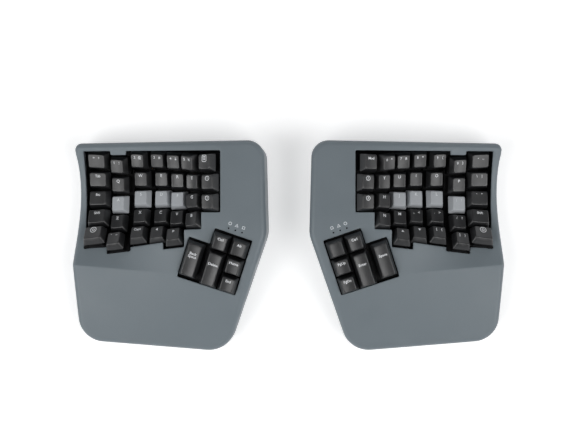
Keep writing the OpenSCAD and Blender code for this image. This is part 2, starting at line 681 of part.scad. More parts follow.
module base_outline() {
  polygon([for (i = [0:count - 1]) inset(i, case_wall + fit_gap)]);
}
module base_plate() {
  color(black)
    difference() {
      union() {
        translate([0, 0, case_z])
          linear_extrude(base_t)
            base_outline();
        translate([pocket_x0 - pocket_wall, leg_y - leg_gap - pocket_wall, case_z])
          cube([pocket_x1 - pocket_x0 + 2 * pocket_wall, leg_len + 2 * leg_gap + 2 * pocket_wall,
                pocket_top + pocket_wall - case_z]);
        translate([battery_at[0] - battery_len / 2 - fit_gap - tray_t,
                   battery_at[1] - battery_w / 2 - fit_gap - tray_t, base_top - lap])
          cube([battery_len + 2 * fit_gap + 2 * tray_t, battery_w + 2 * fit_gap + 2 * tray_t, tray_h]);
        for (p = post_places)
          translate([p[0], p[1], base_top - lap])
            cylinder(d = board_post_d, h = board_z - base_top + lap);
      }
      translate([pocket_x0, leg_y - leg_gap, 0])
        cube([pocket_x1 - pocket_x0, leg_len + 2 * leg_gap, pocket_top]);
      translate([hinge_x, leg_y - leg_gap - pocket_wall - 1, hinge_z])
        rotate([-90, 0, 0])
          cylinder(d = leg_pin_d, h = leg_len + 2 * leg_gap + 2 * pocket_wall + 2);
      translate([pocket_x1 - lap, leg_y + leg_len / 2 - finger_w / 2, 0])
        cube([finger_reach, finger_w, foot_h + finger_h]);
      translate([battery_at[0] - battery_len / 2 - fit_gap,
                 battery_at[1] - battery_w / 2 - fit_gap, base_top])
        cube([battery_len + 2 * fit_gap, battery_w + 2 * fit_gap, sky]);
      for (p = boss_places)
        translate([p[0], p[1], 0]) {
          cylinder(d = screw_d + 2 * fit_gap, h = sky);
          cylinder(d = screw_head_d + 2 * fit_gap, h = foot_h + screw_head_h);
        }
      for (p = foot_places)
        translate([p[0], p[1], 0])
          cylinder(d = foot_d + fit_gap, h = foot_h + foot_sink);
    }
}

module rubber_feet() {
  color("#303030")
    both()
      for (p = foot_places)
        translate([p[0], p[1], 0]) {
          cylinder(d1 = foot_d - 2 * foot_bevel, d2 = foot_d, h = foot_bevel);
          translate([0, 0, foot_bevel])
            cylinder(d = foot_d, h = foot_h + foot_sink - foot_bevel);
        }
}

module case_screws() {
  color("silver")
    both()
      for (p = boss_places)
        translate([p[0], p[1], foot_h]) {
          difference() {
            cylinder(d = screw_head_d, h = screw_head_h);
            translate([0, 0, -lap])
              cylinder(d = hex_d, h = hex_h + lap, $fn = 6);
          }
          translate([0, 0, screw_head_h - lap])
            cylinder(d = screw_d, h = screw_len - screw_head_h);
        }
}

// Tenting leg: a plate on a barrel with a rounded foot edge and a finger hollow, hinged on two pins
bore_gap = 0.05;
leg_rim = 6;
module tent_leg() {
  color("#2a2c2e")
    difference() {
      union() {
        translate([hinge_x, leg_y, hinge_z])
          rotate([-90, 0, 0])
            cylinder(d = leg_t, h = leg_len);
        translate([hinge_x, leg_y, hinge_z - leg_t / 2])
          cube([leg_reach - leg_t / 2, leg_len, leg_t]);
        translate([hinge_x + leg_reach - leg_t / 2, leg_y, hinge_z])
          rotate([-90, 0, 0])
            cylinder(d = leg_t, h = leg_len);
      }
      translate([hinge_x, leg_y - 1, hinge_z])
        rotate([-90, 0, 0])
          cylinder(d = leg_pin_d + 2 * bore_gap, h = leg_len + 2);
      translate([hinge_x + leg_t, leg_y + leg_rim, hinge_z])
        cube([leg_reach - 2 * leg_t - 1, leg_len - 2 * leg_rim, leg_t]);
    }
}
module leg_pins() {
  color("silver")
    both()
      for (y = [leg_y - leg_gap - pocket_wall, leg_y + leg_len + leg_gap + pocket_wall - pin_len])
        translate([hinge_x, y, hinge_z])
          rotate([-90, 0, 0])
            cylinder(d = leg_pin_d, h = pin_len);
}

// Thumb plate on four posts, with its circuit board under the switches
thumb_margin = 1.8;
thumb_posts = [[-28.5, 38], [9, 38], [-28.5, -18.5], [29.5, -13]];
thumb_post_d = 4;
module thumb_plate() {
  color(black) {
    difference() {
      multmatrix(thumb_frame)
        translate([0, 0, -plate_t])
          linear_extrude(plate_t)
            for (k = [0:len(thumb_keys) - 1])
              thumb_footprint(k, thumb_margin, thumb_margin);
      for (k = [0:len(thumb_keys) - 1])
        multmatrix(key_frame(thumb_col, k))
          cube([cut_out, cut_out, 4 * plate_t], center = true);
    }
    thumb_post_set(0);
  }
}
module thumb_post_set(room) {
  for (p = thumb_posts)
    let (q = at(thumb_frame, [p[0], p[1], -plate_t / 2]))
      translate([q[0], q[1], base_top])
        cylinder(d = thumb_post_d + 2 * room, h = q[2] - base_top);
}
module thumb_boards() {
  color(board_colour)
    both()
      difference() {
        multmatrix(thumb_frame)
          translate([0, 0, -switch_depth - board_t])
            linear_extrude(board_t)
              for (k = [0:len(thumb_keys) - 1])
                thumb_footprint(k, opening_gap, 0);
        thumb_post_set(2 * fit_gap);
      }
}

module batteries() {
  color("lightsteelblue")
    both()
      translate([battery_at[0] - battery_len / 2, battery_at[1] - battery_w / 2, base_top])
        cube([battery_len, battery_w, battery_t]);
}
module controller_boards() {
  color(board_colour)
    both()
      translate([socket_x - board_w / 2, board_back - board_d, board_z])
        cube([board_w, board_d, board_t]);
}
module usb_sockets() {
  mouth = back_y - socket_recess;
  color("silver")
    both() {
      difference() {
        socket_profile(socket_w, socket_h, mouth - socket_len, mouth);
        socket_profile(socket_w - 2 * socket_wall, socket_h - 2 * socket_wall,
                       mouth - socket_len + socket_back, mouth + lap);
      }
      translate([socket_x - tongue_w / 2, mouth - socket_len + socket_back - lap,
                 board_z + board_t + socket_h / 2 - tongue_t / 2])
        cube([tongue_w, socket_len - socket_back - tongue_in + lap, tongue_t]);
    }
}
module indicator_lenses() {
  color("white")
    both()
      for (k = [0:2])
        let (p = lamp_place(k), h = case_h(p[0], p[1]))
          translate([p[0], p[1], h - lamp_len])
            cylinder(d = lamp_d, h = lamp_len - lamp_sink);
}

side_nodes = concat(["top_case", "base_plate", "key_well", "thumb_plate", "tent_leg"],
                    [for (g = key_groups) g[0]]);
shared_nodes = ["switch_housings", "flex_circuits", "thumb_boards", "controller_boards", "batteries",
                "usb_sockets", "indicator_lenses", "case_screws", "rubber_feet", "leg_pins"];

for (side = sides) {
  place(side) top_case();
  place(side) base_plate();
  place(side) key_well();
  place(side) thumb_plate();
  place(side) tent_leg();
  for (g = key_groups)
    place(side) keys(g[1]);
}
switch_housings();
flex_circuits();
thumb_boards();
controller_boards();
batteries();
usb_sockets();
indicator_lenses();
case_screws();
rubber_feet();
leg_pins();
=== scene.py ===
import math

import bmesh
import bpy
from mathutils import Matrix, Vector
from mathutils.geometry import delaunay_2d_cdt


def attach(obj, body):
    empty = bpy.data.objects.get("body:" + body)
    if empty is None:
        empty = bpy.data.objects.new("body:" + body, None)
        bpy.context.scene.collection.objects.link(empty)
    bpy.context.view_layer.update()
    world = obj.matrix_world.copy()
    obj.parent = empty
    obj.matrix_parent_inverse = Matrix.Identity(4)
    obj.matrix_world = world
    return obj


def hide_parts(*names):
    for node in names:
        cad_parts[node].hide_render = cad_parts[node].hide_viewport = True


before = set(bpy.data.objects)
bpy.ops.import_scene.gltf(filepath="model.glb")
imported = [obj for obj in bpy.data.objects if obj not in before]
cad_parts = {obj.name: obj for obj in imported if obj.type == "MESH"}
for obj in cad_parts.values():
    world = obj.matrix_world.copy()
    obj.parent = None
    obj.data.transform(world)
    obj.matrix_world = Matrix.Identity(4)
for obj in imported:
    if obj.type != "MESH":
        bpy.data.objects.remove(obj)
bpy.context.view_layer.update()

MM = 0.001
ROOT = "keyboard"
SIDES = ("left", "right")

# Sizes of the case in millimetres, in the frame of one half:
# X outward from its inner edge, Y away from the typist, Z up from the desk
HALF_GAP = 42.4
CASE_W = 197.2
CASE_D = 215.0
WELL_BACK = 97.174
BACK_Y = WELL_BACK + 10.3
FRONT_Y = BACK_Y - CASE_D
CENTRE_Y = 0.779117
CASE_Z = 2.0
CHAMFER = 1.0
EDGE_R = 5.5
CASE_WALL = 2.2
PALM_H = 19.5
INNER_BACK_H = 54.0
OUTER_BACK_H = 38.0
RISE_D = 140.0
SCOOP_DEPTH = 15.0
RIDGE_Y = -17.0
RIDGE_END_X = 89.0
RIDGE_DROP = 9.5
BACK_RIM = 5.5
CORNERS = [
    (CASE_W - 3, BACK_Y - 2.2, 7.0, 4),
    (2.5, BACK_Y, 17.0, 5),
    (0.0, 13.5, 30.0, 3),
    (41.5, FRONT_Y, 28.0, 6),
    (CASE_W - 5, FRONT_Y + 12.5, 26.0, 5),
    (CASE_W, RIDGE_Y, 30.0, 2),
]
EDGE_STEPS = [8, 5, 6, 7, 4, 8]
EDGE_BOW = [0, 0, 0, 0, 0, 3.5]
BOW_PULL = 1.45
BOW_EASE = 0.85
FINE = 4
CHAMFER_MID = (0.35, 0.3)
CASE_SHARP = 42
# Charging socket in the back wall: x, z, width and height of its opening
SOCKET = (29.5, 16.23, 9.94, 4.26)
SOCKET_REACH = 10
# Net of points on the case's top, and the edges of its openings
TOP_GRID = 3.0
GRID_ROW = 0.866
GRID_ROOM = 1.5
CREASE_STEP = 1.5
CREASE_COUNT = 82
CREASE_ROOM = 1.2
CREASE_SIDE = 1.2
CREASE_SIDE_ROOM = 1.0
CREASE_CLEAR = 2.4
CREASE_LINK = 3
SLIVER = 0.002
OUTLINE_STEP = 3.0
NEAREST = 0.35
ROUND_BELOW = 150
ROUND_RUN = 1.4
ROUND_SHARE = 0.45
LIP_R = 0.6

# Sizes of the keys
KEY_PITCH = 19.05
CAP_GAP = 1.05
CAP_TOP_H = 13.4
SKIRT_H = 5.6
SIDE_TAPER = 2.7
END_TAPER = 2.0
CAP_LEAN = 0.6
DISH = 0.7
CAP_WALL = 1.3
CEILING = CAP_TOP_H - DISH - 1.6
TRAVEL = 4.0
ROW_PITCH = 18.7
COL_X = [173.2, 152, 129.8, 108.8, 91.2, 75.4, 58.6]
COL_Y = [49.7, 44.3, 50.1, 50.1, 48.5, 46.9, 65.1]
COL_Z = [26.5, 28.5, 25.5, 25.5, 32.5, 42, 53.6]
COL_KEYS = [5, 5, 5, 5, 5, 4, 3, 6]
OUTER_UNITS = 1.25
FLAT_PITCH = KEY_PITCH + 0.57
ROW_TILT = [18, 6.5, -7, -22, -37]
FAN_OUT = 4.6
NUMBER_FAN = [0.1, 0.1, 0.6, 0.8, 0.8, 1, 0.65]
BOTTOM_FAN = [0.35, 0.35, 0.2, 0.5, 0.5]
MAIN_ROLL = 12
INNER_ROLL = 26
MAIN_COLS = 5
HOME_ROW = 2
BOTTOM_ROW = 4
INNER_COL = 5
FLAT_COL = 6
THUMB_COL = 7
OPENING_GAP = 0.8
COLUMN_SIDES = [(157.48, 185.2), (137.9, 162.59), (116.41, 141.54), (95.41, 121.46), (82.2, 103.86),
                (-9.8, 16.94), (-9.8, 13.79)]
COLUMN_FRONT = [0.4, -3.4, None, None, None, None, None]
FRONT_ROUNDS = 12
FORWARD_COL = 1
FORWARD_BACK = WELL_BACK - 4.0
THUMB_XY = (53.7, -19.5)
THUMB_TURN = 18.4
THUMB_SINK = 6.0
THUMB_ROUNDS = 6
# Opening around the thumb keys in their own frame: wide in front, narrow behind
THUMB_INNER, THUMB_STEP_X, THUMB_OUTER = -29.45, 9.8, 31.8
THUMB_FRONT, THUMB_STEP_Y, THUMB_BACK = -19.3, 23.3, 39.8
# Lamps behind the thumb keys and the printed marks behind the lamps
LAMPS = 3
LAMP_X = -10.2
LAMP_Y = 43.4
LAMP_PITCH = 7.0
LAMP_HOLE_R = 0.8
LAMP_LIP_R = 0.15
MARK_Y = 48.4
MARK_RISE = 0.04
MARK_SINK = 0.15
THUMB_KEYS = [(22, 2.6, 2), (0, 1.5 * KEY_PITCH, 1), (0, 0, 2)] + [
    (-KEY_PITCH - 0.3, r * KEY_PITCH, 1) for r in (1.5, 0.5, -0.5)
]


def sin(a):
    return math.sin(math.radians(a))


def cos(a):
    return math.cos(math.radians(a))


def tan(a):
    return math.tan(math.radians(a))


def clamp(v):
    return min(1.0, max(0.0, v))


def smooth(v):
    v = clamp(v)
    return v * v * (3 - 2 * v)


# Height of the case surface
SCOOP_START = RIDGE_END_X - 17
SCOOP_FULL = CASE_W - 11
SCOOP_BACK = BACK_Y - BACK_RIM


def back_h(x):
    return INNER_BACK_H + (OUTER_BACK_H - INNER_BACK_H) * x / CASE_W


def deck_h(x, y):
    return PALM_H + (back_h(x) - PALM_H) * sin(90 * clamp((y - FRONT_Y) / RISE_D))


def ridge_at(x):
    return RIDGE_Y - RIDGE_DROP * (CASE_W - x) / (CASE_W - RIDGE_END_X)


def case_h(x, y):
    middle = (SCOOP_BACK + ridge_at(x)) / 2
    half = (SCOOP_BACK - ridge_at(x)) / 2
    scoop = SCOOP_DEPTH * smooth((x - SCOOP_START) / (SCOOP_FULL - SCOOP_START))
    return deck_h(x, y) - scoop * max(0.0, 1 - ((y - middle) / half) ** 2)


# Outline of one half
def bow(u):
    """Depth of a bowed edge, from 0 at its ends to 1, running into the last corner without a kink."""
    if u < BOW_EASE:
        return 4 * u * (1 - u)
    t = (u - BOW_EASE) / (1 - BOW_EASE)
    start, slope = 4 * BOW_EASE * (1 - BOW_EASE), 4 * (1 - 2 * BOW_EASE) * (1 - BOW_EASE)
    return start * (1 + t * t * (2 * t - 3)) + slope * t * (1 - t) ** 2


def outline_points():
    n = len(CORNERS)
    pts = [Vector(c[:2]) for c in CORNERS]

    def half_angle(i):
        a, b = pts[i - 1] - pts[i], pts[(i + 1) % n] - pts[i]
        return a.angle(b) / 2

    def tangent(i, to):
        return pts[i] + (pts[to % n] - pts[i]).normalized() * CORNERS[i][2] / math.tan(half_angle(i))

    out = []
    for i in range(n):
        a, b = (pts[i - 1] - pts[i]).normalized(), (pts[(i + 1) % n] - pts[i]).normalized()
        r = CORNERS[i][2]
        o = pts[i] + (a + b).normalized() * r / math.sin(half_angle(i))
        s = tangent(i, i - 1) - o
        start = math.atan2(s.y, s.x)
        sweep = math.pi - 2 * half_angle(i)
        steps = CORNERS[i][3] * FINE
        out += [o + r * Vector((math.cos(start + sweep * k / steps), math.sin(start + sweep * k / steps)))
                for k in range(steps + 1)]
        j = (i + 1) % n
        p, q = tangent(i, i + 1), tangent(j, i)
        steps = EDGE_STEPS[i] * FINE
        inward = Vector((p.y - q.y, q.x - p.x)).normalized()
        for k in range(1, steps):
            u = (k / steps) ** BOW_PULL
            out.append(p + (q - p) * k / steps + inward * EDGE_BOW[i] * bow(u))
    return out


OUTLINE = outline_points()
COUNT = len(OUTLINE)


def run_at(points, i):
    """Direction of a closed outline at one of its points, halfway between the edges that meet there."""
    ahead, behind = points[(i + 1) % len(points)] - points[i], points[i] - points[i - 1]
    return (ahead.normalized() + behind.normalized()).normalized()


def inset(i, d):
    t = run_at(OUTLINE, i)
    return OUTLINE[i] + Vector((-t.y, t.x)) * d


# Key frames: origin on the switch plate, Z against the press direction
def mean_tilt(r):
    return (ROW_TILT[r] + ROW_TILT[r + 1]) / 2


def row_offset(r):
    y = z = 0.0
    for k in range(HOME_ROW - 1, r - 1, -1):
        y += ROW_PITCH * cos(mean_tilt(k))
        z += ROW_PITCH * sin(mean_tilt(k))
    for k in range(HOME_ROW, r):
        y -= ROW_PITCH * cos(mean_tilt(k))
        z -= ROW_PITCH * sin(mean_tilt(k))
    return y, z


def roll(c):
    return MAIN_ROLL if c < MAIN_COLS else INNER_ROLL


def tilt(c, r):
    return 0 if c == FLAT_COL else ROW_TILT[r]


def well_key(c, r):
    a, b = tilt(c, r), roll(c)
    x = Vector((cos(b), sin(b) * sin(a), -sin(b) * cos(a)))
    y = Vector((0, cos(a), sin(a)))
    z = Vector((sin(b), -cos(b) * sin(a), cos(b) * cos(a)))
    across = COL_X[c] + FAN_OUT * (NUMBER_FAN[c] if r == 0 else BOTTOM_FAN[c] if r == BOTTOM_ROW else 0)
    if c == FLAT_COL:
        top = Vector((across, COL_Y[c] + (1 - r) * FLAT_PITCH, COL_Z[c]))
    else:
        dy, dz = row_offset(r)
        top = Vector((across, COL_Y[c] + dy, COL_Z[c] + dz))
    return x, y, z, top - CAP_TOP_H * z


def thumb_axes():
    x, y = THUMB_XY
    share = clamp((y - FRONT_Y) / RISE_D)
    sx = (OUTER_BACK_H - INNER_BACK_H) / CASE_W * sin(90 * share)
    sy = (back_h(x) - PALM_H) * cos(90 * share) * math.pi / 2 / RISE_D
    ez = Vector((-sx, -sy, 1)).normalized()
    ex = Vector((cos(THUMB_TURN), sin(THUMB_TURN), sx * cos(THUMB_TURN) + sy * sin(THUMB_TURN))).normalized()
    return ex, ez.cross(ex), ez, Vector((x, y, case_h(x, y) - THUMB_SINK))


THUMB = thumb_axes()


def in_thumb(x, y, z):
    return THUMB[3] + THUMB[0] * x + THUMB[1] * y + THUMB[2] * z


def key_frame(c, r):
    if c == THUMB_COL:
        return THUMB[0], THUMB[1], THUMB[2], in_thumb(THUMB_KEYS[r][0], THUMB_KEYS[r][1], 0)
    return well_key(c, r)


def placed(side, p):
    x = p[0] + HALF_GAP / 2
    return Vector((x if side == "right" else -x, p[1] - CENTRE_Y, p[2])) * MM


def key_matrix(side, c, r):
    x, y, z, o = key_frame(c, r)
    if side == "left":
        y, z = Vector((-y.x, y.y, y.z)), Vector((-z.x, z.y, z.z))
        x = y.cross(z)
    m = Matrix((x, y, z)).transposed().to_4x4()
    return Matrix.Translation(placed(side, o)) @ m @ Matrix.Scale(MM, 4)


def cap_size(c, r):
    w = (OUTER_UNITS if c == 0 else 1) * KEY_PITCH - CAP_GAP
    d = (THUMB_KEYS[r][2] if c == THUMB_COL else 1) * KEY_PITCH - CAP_GAP
    return w, d


# Materials
def linear(rgb):
    return tuple((v / 255 / 12.92) if v <= 10 else ((v / 255 + 0.055) / 1.055) ** 2.4 for v in rgb) + (1.0,)


NOISE_LOW, NOISE_HIGH = 0.3, 0.7
FINE_SHARE, SLOW_SHARE = 0.6, 0.4
SLOW_SCALE = 38.0
# Pointiness range, gain and lift that lighten convex edges: a painted edge highlight, partly rub wear
EDGE_WEAR_HIGHLIGHT_FROM, EDGE_WEAR_HIGHLIGHT_TO = 0.52, 0.62
EDGE_WEAR_HIGHLIGHT_GAIN, EDGE_WEAR_HIGHLIGHT_LIFT = 1.6, 0.02
RELIEF = 0.0001
UNEVEN = 0.08


def moulded(name, rgb, rough, grain, bump, mottle, edge=0.0, sheen=0.5, metal=0.0):
    """Plastic, rubber or metal with a fine grain, slow colour drift, uneven gloss and edges lightened by a
    painted highlight and rub wear.
    """
    mat = bpy.data.materials.new(name)
    mat.use_nodes = True
    nodes, links = mat.node_tree.nodes, mat.node_tree.links
    shader = nodes["Principled BSDF"]
    where = nodes.new("ShaderNodeTexCoord")

    def noise(scale, detail, roughness):
        n = nodes.new("ShaderNodeTexNoise")
        n.inputs["Scale"].default_value = scale
        n.inputs["Detail"].default_value = detail
        n.inputs["Roughness"].default_value = roughness
        links.new(where.outputs["Object"], n.inputs["Vector"])
        return n

    def mapped(source, low, high):
        m = nodes.new("ShaderNodeMapRange")
        m.inputs["From Min"].default_value = NOISE_LOW
        m.inputs["From Max"].default_value = NOISE_HIGH
        m.inputs["To Min"].default_value = low
        m.inputs["To Max"].default_value = high
        links.new(source, m.inputs["Value"])
        return m.outputs["Result"]

    base = linear(rgb)
    fine = noise(grain, 3.0, 0.6)
    slow = noise(SLOW_SCALE, 4.0, 0.55)
    tone = nodes.new("ShaderNodeMix")
    tone.data_type = "RGBA"
    tone.inputs["A"].default_value = tuple(v * (1 - mottle) for v in base[:3]) + (1.0,)
    tone.inputs["B"].default_value = tuple(min(1.0, v * (1 + mottle)) for v in base[:3]) + (1.0,)
    both = nodes.new("ShaderNodeMath")
    both.operation = "ADD"
    links.new(mapped(fine.outputs["Fac"], 0.0, FINE_SHARE), both.inputs[0])
    links.new(mapped(slow.outputs["Fac"], 0.0, SLOW_SHARE), both.inputs[1])
    links.new(both.outputs["Value"], tone.inputs["Factor"])
    colour = tone.outputs["Result"]
    # Convex edges get a lighter colour: a painted highlight along the edges, partly rub wear
    if edge:
        shape = nodes.new("ShaderNodeNewGeometry")
        wear_highlight_mask = nodes.new("ShaderNodeMapRange")
        wear_highlight_mask.inputs["From Min"].default_value = EDGE_WEAR_HIGHLIGHT_FROM
        wear_highlight_mask.inputs["From Max"].default_value = EDGE_WEAR_HIGHLIGHT_TO
        wear_highlight_mask.inputs["To Max"].default_value = edge
        links.new(shape.outputs["Pointiness"], wear_highlight_mask.inputs["Value"])
        worn_and_highlighted = nodes.new("ShaderNodeMix")
        worn_and_highlighted.data_type = "RGBA"
        worn_and_highlighted.inputs["B"].default_value = tuple(min(1.0, v * EDGE_WEAR_HIGHLIGHT_GAIN + EDGE_WEAR_HIGHLIGHT_LIFT) for v in base[:3]) + (1.0,)
        links.new(colour, worn_and_highlighted.inputs["A"])
        links.new(wear_highlight_mask.outputs["Result"], worn_and_highlighted.inputs["Factor"])
        colour = worn_and_highlighted.outputs["Result"]
    links.new(colour, shader.inputs["Base Color"])
    links.new(mapped(slow.outputs["Fac"], rough - UNEVEN, rough + UNEVEN), shader.inputs["Roughness"])
    relief = nodes.new("ShaderNodeBump")
    relief.inputs["Strength"].default_value = bump
    relief.inputs["Distance"].default_value = RELIEF
    links.new(fine.outputs["Fac"], relief.inputs["Height"])
    links.new(relief.outputs["Normal"], shader.inputs["Normal"])
    shader.inputs["Metallic"].default_value = metal
    shader.inputs["Specular IOR Level"].default_value = sheen
    return mat


CASE_MAT = moulded("case_plastic", (121, 131, 137), 0.46, grain=1500, bump=0.1, mottle=0.04, edge=0.25)
DARK_CAP = moulded("cap_charcoal", (22, 23, 25), 0.42, grain=2600, bump=0.16, mottle=0.07, edge=0.25,
                   sheen=1.0)
LIGHT_CAP = moulded("cap_grey", (182, 186, 190), 0.5, grain=2600, bump=0.16, mottle=0.04, edge=0.2)
WORD_MAT = moulded("legend_white", (240, 242, 244), 0.45, grain=2600, bump=0.05, mottle=0.02)
LIGHT_WORD = moulded("legend_on_grey", (236, 239, 242), 0.45, grain=2600, bump=0.05, mottle=0.02)
WELL_MAT = moulded("well_black", (11, 11, 12), 0.62, grain=1800, bump=0.1, mottle=0.1, sheen=0.2)
BASE_MAT = moulded("base_black", (38, 39, 41), 0.55, grain=1400, bump=0.25, mottle=0.08)
SWITCH_MAT = moulded("switch_black", (12, 12, 13), 0.5, grain=2200, bump=0.06, mottle=0.08, sheen=0.3)
LEG_MAT = moulded("leg_black", (44, 45, 47), 0.5, grain=1400, bump=0.2, mottle=0.08)
RUBBER_MAT = moulded("foot_rubber", (30, 30, 30), 0.8, grain=1200, bump=0.3, mottle=0.12)
BOARD_MAT = moulded("circuit_green", (18, 74, 44), 0.35, grain=700, bump=0.1, mottle=0.14)
FLEX_MAT = moulded("circuit_amber", (168, 112, 40), 0.35, grain=900, bump=0.08, mottle=0.12)
FOIL_MAT = moulded("battery_foil", (178, 182, 188), 0.35, grain=500, bump=0.12, mottle=0.08, metal=0.7)
STEEL_MAT = moulded("plated_steel", (188, 188, 190), 0.28, grain=1800, bump=0.05, mottle=0.05, metal=1.0)
LENS_MAT = moulded("smoked_lens", (26, 28, 30), 0.2, grain=1500, bump=0.02, mottle=0.05, sheen=0.8)
MARK_MAT = moulded("printed_mark", (226, 231, 235), 0.5, grain=2600, bump=0.05, mottle=0.02)


def new_object(name, mesh, mat, body):
    mesh.materials.clear()
    mesh.materials.append(mat)
    obj = bpy.data.objects.new(name, mesh)
    bpy.context.scene.collection.objects.link(obj)
    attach(obj, body)
    return obj


def soften(mesh, angle):
    mesh.polygons.foreach_set("use_smooth", [True] * len(mesh.polygons))
    mesh.set_sharp_from_angle(angle=math.radians(angle))


# Openings in the case, in plan
def column_limits(c):
    """Sides of a column's opening at the case surface. At the two inner columns they lean with the caps."""
    if c < INNER_COL:
        return COLUMN_SIDES[c]
    o = well_key(c, COL_KEYS[c] - 1)[3]
    rise = case_h(o.x, o.y) - o.z
    return [o.x + (v + rise * sin(roll(c))) / cos(roll(c)) for v in COLUMN_SIDES[c]]


def column_front(c, x):
    """Front edge of a column's opening, where the path of its pressed front cap leaves the case."""
    if COLUMN_FRONT[c] is not None:
        return COLUMN_FRONT[c]
    r = COL_KEYS[c] - 1
    ax, ay, az, o = well_key(c, r)
    w, d = cap_size(c, r)
    p = min((o + ax * sx * w / 2 - ay * (d / 2 + OPENING_GAP) + az * (SKIRT_H - TRAVEL - OPENING_GAP)
             for sx in (-1, 1)), key=lambda q: q.y)
    y = p.y
    for _ in range(FRONT_ROUNDS):
        y = p.y - max(0.0, case_h(x, y) - p.z) * tan(tilt(c, r))
    return y


def column_back(c):
    return FORWARD_BACK if c == FORWARD_COL else WELL_BACK


def well_outline():
    limits = {c: column_limits(c) for c in range(FLAT_COL + 1)}
    stops = sorted({round(v, 4) for pair in limits.values() for v in pair})
    front, back = [], []
    for a, b in zip(stops, stops[1:]):
        active = [c for c in limits if limits[c][0] < (a + b) / 2 < limits[c][1]]
        steps = max(1, round((b - a) / OUTLINE_STEP))
        for k in range(steps + 1):
            x = a + (b - a) * k / steps
            front.append(Vector((x, min(column_front(c, x) for c in active))))
            back.append(Vector((x, max(column_back(c) for c in active))))
    return rounded(spread(front + back[::-1]))


def thumb_outline():
    local = [(THUMB_INNER, THUMB_FRONT), (THUMB_OUTER, THUMB_FRONT), (THUMB_OUTER, THUMB_STEP_Y),
             (THUMB_STEP_X, THUMB_STEP_Y), (THUMB_STEP_X, THUMB_BACK), (THUMB_INNER, THUMB_BACK)]
    out = []
    for x, y in spread([Vector(p) for p in local]):
        z = THUMB_SINK
        for _ in range(THUMB_ROUNDS):
            w = in_thumb(x, y, z)
            z += (case_h(w.x, w.y) - w.z) / THUMB[2].z
        out.append(in_thumb(x, y, z).to_2d())
    return rounded(out)


def spread(points):
    """Adds points along the long runs, so that an edge follows the curve of the case."""
    out = []
    for i, p in enumerate(points):
        q = points[(i + 1) % len(points)]
        steps = max(1, round((q - p).length / OUTLINE_STEP))
        out += [p.lerp(q, k / steps) for k in range(steps)]
    return out


def rounded(points):
    """Drops each point that lies too close to the one before, then rounds the sharp corners."""
    kept = []
    for p in points:
        if not kept or (p - kept[-1]).length > NEAREST:
            kept.append(p)
    if (kept[0] - kept[-1]).length <= NEAREST:
        kept.pop()
    out = []
    n = len(kept)
    for i, p in enumerate(kept):
        a, b = kept[i - 1] - p, kept[(i + 1) % n] - p
        if a.angle(b) > math.radians(ROUND_BELOW):
            out.append(p)
            continue
        t = min(ROUND_RUN, ROUND_SHARE * a.length, ROUND_SHARE * b.length)
        s, e = p + a.normalized() * t, p + b.normalized() * t
        out += [s * (1 - u) ** 2 + p * 2 * u * (1 - u) + e * u ** 2 for u in (0, 0.25, 0.5, 0.75, 1)]
    return out


def round_loop(r, n=28):
    return [(r * math.cos(2 * math.pi * k / n), r * math.sin(2 * math.pi * k / n)) for k in range(n)]


def circle_outline(x, y, r, n=16):
    return [Vector((x + px, y + py)) for px, py in round_loop(r, n)]


def outward(points, d):
    turns = [run_at(points, i) for i in range(len(points))]
    return [p + Vector((t.y, -t.x)) * d for p, t in zip(points, turns)]


def inside(p, polygon):
    hit = False
    for i, b in enumerate(polygon):
        a = polygon[i - 1]
        if (a.y > p.y) != (b.y > p.y) and p.x < (b.x - a.x) * (p.y - a.y) / (b.y - a.y) + a.x:
            hit = not hit
    return hit


def lamp_place(k, y):
    return in_thumb(LAMP_X + (k - 1) * LAMP_PITCH, y, 0)


